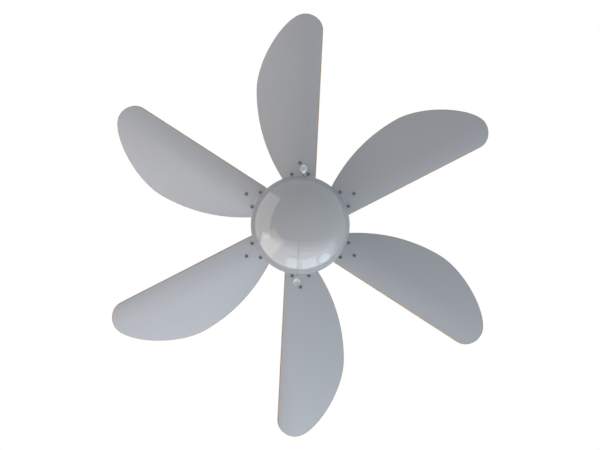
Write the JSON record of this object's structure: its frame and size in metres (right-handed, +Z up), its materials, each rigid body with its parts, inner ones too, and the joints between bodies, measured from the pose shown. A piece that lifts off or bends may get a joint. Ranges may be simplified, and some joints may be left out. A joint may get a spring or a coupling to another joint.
{
  "type": "ceiling fan",
  "caption": "Ceiling fan hung by a ball and short rod, with an outer-rotor motor, swept pitched blades on irons, an opal glass bowl light and pull chains.",
  "frame": {"origin": "on the fan's axis, in the ceiling plane, at the middle of the hanger bracket's top face", "axes": "+Z up along the fan's axis; one blade points along -Y; +X is the side of the reversing switch, and the pull chains lie near +Y and -Y"},
  "size_m": [0.6768, 0.762, 0.5183],
  "materials": {
    "white_paint": "semi-gloss white stoved paint",
    "zinc_steel": "zinc plated steel",
    "cast_aluminium": "bare casting, turned on its seats",
    "copper_winding": "varnished copper wire on a steel stack",
    "grey_laminate": "fibreboard under a light grey laminate, bare edges",
    "dark_screw": "dark plated steel",
    "opal_glass": "glossy opal glass, unlit",
    "frosted_glass": "frosted bulb glass",
    "black_plastic": "matte black moulding",
    "white_plastic": "gloss white moulding",
    "nickel_chain": "nickel plated beads"
  },
  "bodies": {
    "ceiling_mount": {"hanger_bracket": "zinc_steel", "canopy": "white_paint"},
    "fan_frame": {"hanger_ball": "black_plastic", "downrod": "white_paint", "clevis_pin": "zinc_steel", "motor_coupling": "zinc_steel", "coupling_cover": "white_paint", "motor_shaft": "zinc_steel", "stator": "copper_winding", "upper_bearing": "zinc_steel", "lower_bearing": "zinc_steel", "motor_housing": "white_paint", "switch_housing": "white_paint", "fan_switch": "black_plastic", "light_switch": "black_plastic", "capacitor": "black_plastic", "lamp_fitter": "white_paint", "thumb_screw_1": "zinc_steel", "thumb_screw_2": "zinc_steel", "thumb_screw_3": "zinc_steel", "lamp_holder": "white_plastic", "bulb": "frosted_glass", "glass_shade": "opal_glass"},
    "rotor": {"rotor_upper_shell": "cast_aluminium", "rotor_lower_shell": "cast_aluminium", "blade_iron_1": "white_paint", "blade_iron_2": "white_paint", "blade_iron_3": "white_paint", "blade_iron_4": "white_paint", "blade_iron_5": "white_paint", "blade_iron_6": "white_paint", "blade_1": "grey_laminate", "blade_2": "grey_laminate", "blade_3": "grey_laminate", "blade_4": "grey_laminate", "blade_5": "grey_laminate", "blade_6": "grey_laminate", "blade_screw_1a": "dark_screw", "blade_screw_1b": "dark_screw", "blade_screw_1c": "dark_screw", "blade_screw_2a": "dark_screw", "blade_screw_2b": "dark_screw", "blade_screw_2c": "dark_screw", "blade_screw_3a": "dark_screw", "blade_screw_3b": "dark_screw", "blade_screw_3c": "dark_screw", "blade_screw_4a": "dark_screw", "blade_screw_4b": "dark_screw", "blade_screw_4c": "dark_screw", "blade_screw_5a": "dark_screw", "blade_screw_5b": "dark_screw", "blade_screw_5c": "dark_screw", "blade_screw_6a": "dark_screw", "blade_screw_6b": "dark_screw", "blade_screw_6c": "dark_screw"},
    "fan_pull": {"fan_chain": "nickel_chain", "fan_pendant": "white_plastic"},
    "light_pull": {"light_chain": "nickel_chain", "light_pendant": "white_plastic"},
    "reverse_switch": {"reverse_slider": "black_plastic"}
  },
  "joints": [
    {"name": "hanger_tilt", "type": "hinge", "parent": "ceiling_mount", "child": "fan_frame", "pos_m": [0, 0, -0.033], "axis": [1, 0, 0], "range_deg": [-10, 10]},
    {"name": "rotor_spin", "type": "hinge", "parent": "fan_frame", "child": "rotor", "pos_m": [0, 0, -0.198], "axis": [0, 0, 1], "continuous": true},
    {"name": "fan_pull_chain", "type": "slide", "parent": "fan_frame", "child": "fan_pull", "axis": [0, 0, -1], "range_m": [0, 0.01], "stiffness_N_per_m": 300, "springref_m": -0.002, "deforming": ["fan_chain"]},
    {"name": "light_pull_chain", "type": "slide", "parent": "fan_frame", "child": "light_pull", "axis": [0, 0, -1], "range_m": [0, 0.01], "stiffness_N_per_m": 300, "springref_m": -0.002, "deforming": ["light_chain"]},
    {"name": "reverse_slide", "type": "slide", "parent": "fan_frame", "child": "reverse_switch", "axis": [0, 1, 0], "range_m": [0, 0.005]}
  ]
}
